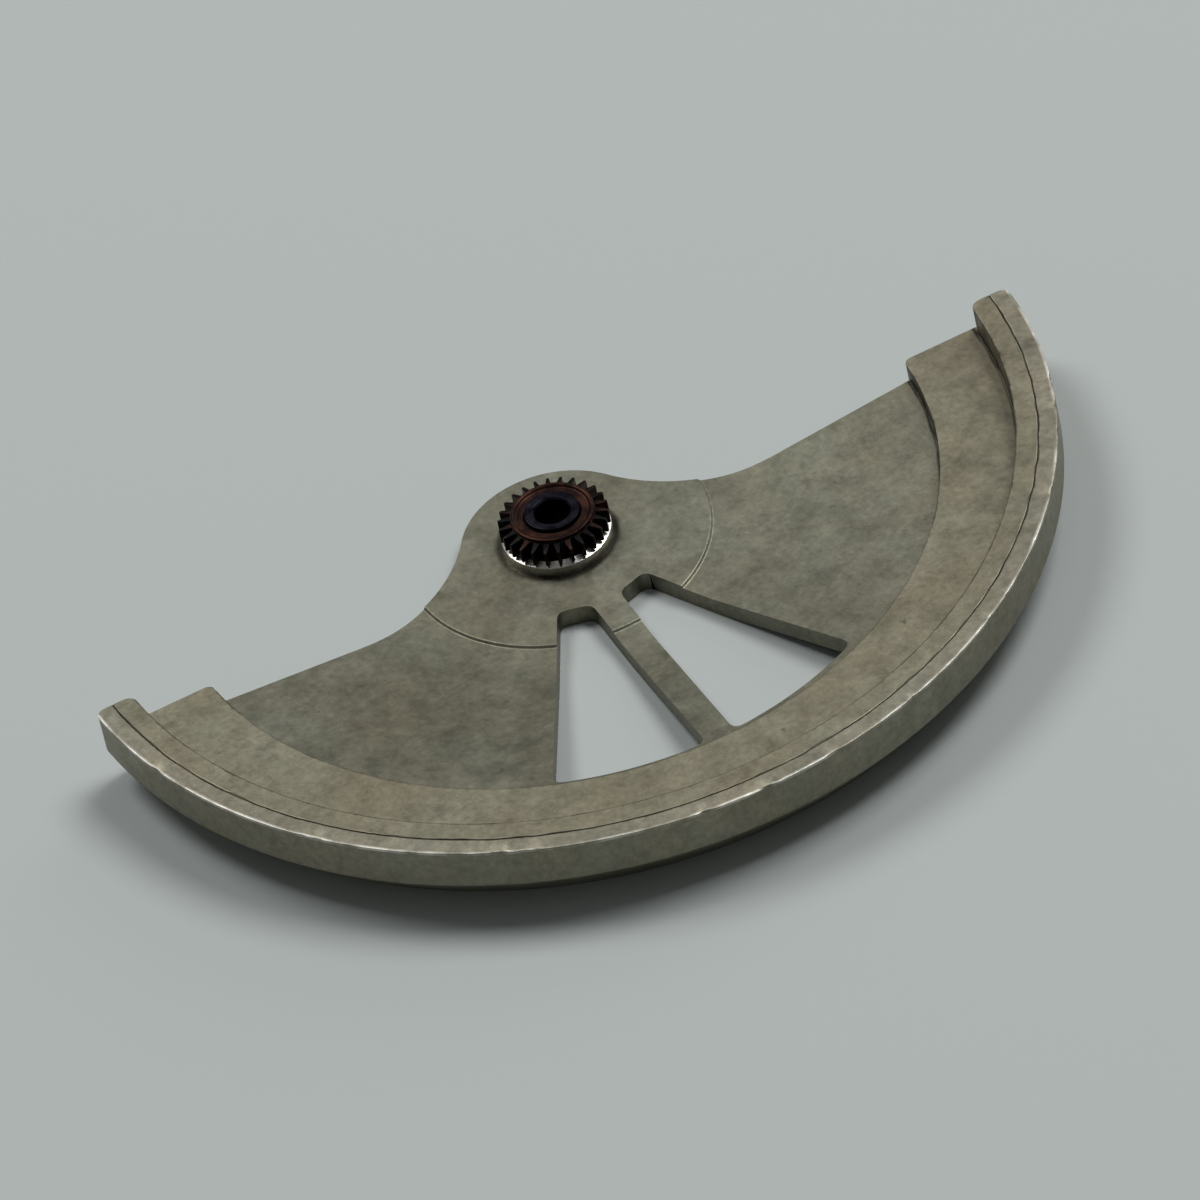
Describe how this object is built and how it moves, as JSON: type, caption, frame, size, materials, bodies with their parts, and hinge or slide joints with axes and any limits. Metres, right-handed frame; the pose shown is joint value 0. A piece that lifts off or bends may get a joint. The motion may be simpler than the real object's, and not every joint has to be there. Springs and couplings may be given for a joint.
{
  "type": "automatic watch rotor",
  "caption": "Half-moon winding rotor of a self-winding watch: dished plate with lightening windows, heavy stepped rim, and a toothed pinion over its ball bearing.",
  "frame": {"origin": "centre of the inner race's bore, at its end on the rotor's outer face, which is the face that the rotor lies on", "axes": "+Z along the rotor axis towards the pinion side; the rotor is symmetrical left and right of the YZ plane and its heavy rim lies towards -Y"},
  "size_m": [0.025, 0.0149, 0.0021],
  "materials": {
    "plate_metal": "tarnished satin, turned",
    "rim_metal": "tarnished satin, turned",
    "polished_steel": "polished",
    "pinion_steel": "dark oxidised",
    "cover_bronze": "brown tarnish",
    "race_steel": "dark satin",
    "cage_brass": "satin",
    "ball_steel": "polished"
  },
  "bodies": {
    "rotor": {"rotor_plate": "plate_metal", "heavy_rim_segment": "rim_metal", "bearing_outer_ring": "polished_steel", "rotor_pinion": "pinion_steel", "bearing_cover_ring": "cover_bronze"},
    "inner_race": {"bearing_inner_race": "race_steel", "bearing_inner_cone": "race_steel"},
    "ball_set": {"ball_cage": "cage_brass", "bearing_ball_1": "ball_steel", "bearing_ball_2": "ball_steel", "bearing_ball_3": "ball_steel", "bearing_ball_4": "ball_steel", "bearing_ball_5": "ball_steel", "bearing_ball_6": "ball_steel", "bearing_ball_7": "ball_steel"}
  },
  "joints": [
    {"name": "inner_race_turn", "type": "hinge", "parent": "rotor", "child": "inner_race", "pos_m": [0, 0, 0.00068], "axis": [0, 0, 1], "continuous": true},
    {"name": "ball_set_turn", "type": "hinge", "parent": "rotor", "child": "ball_set", "pos_m": [0, 0, 0.00068], "axis": [0, 0, 1], "continuous": true}
  ],
  "couplings": [
    {"joint": "ball_set_turn", "follows": "inner_race_turn", "ratio": 0.43183}
  ]
}
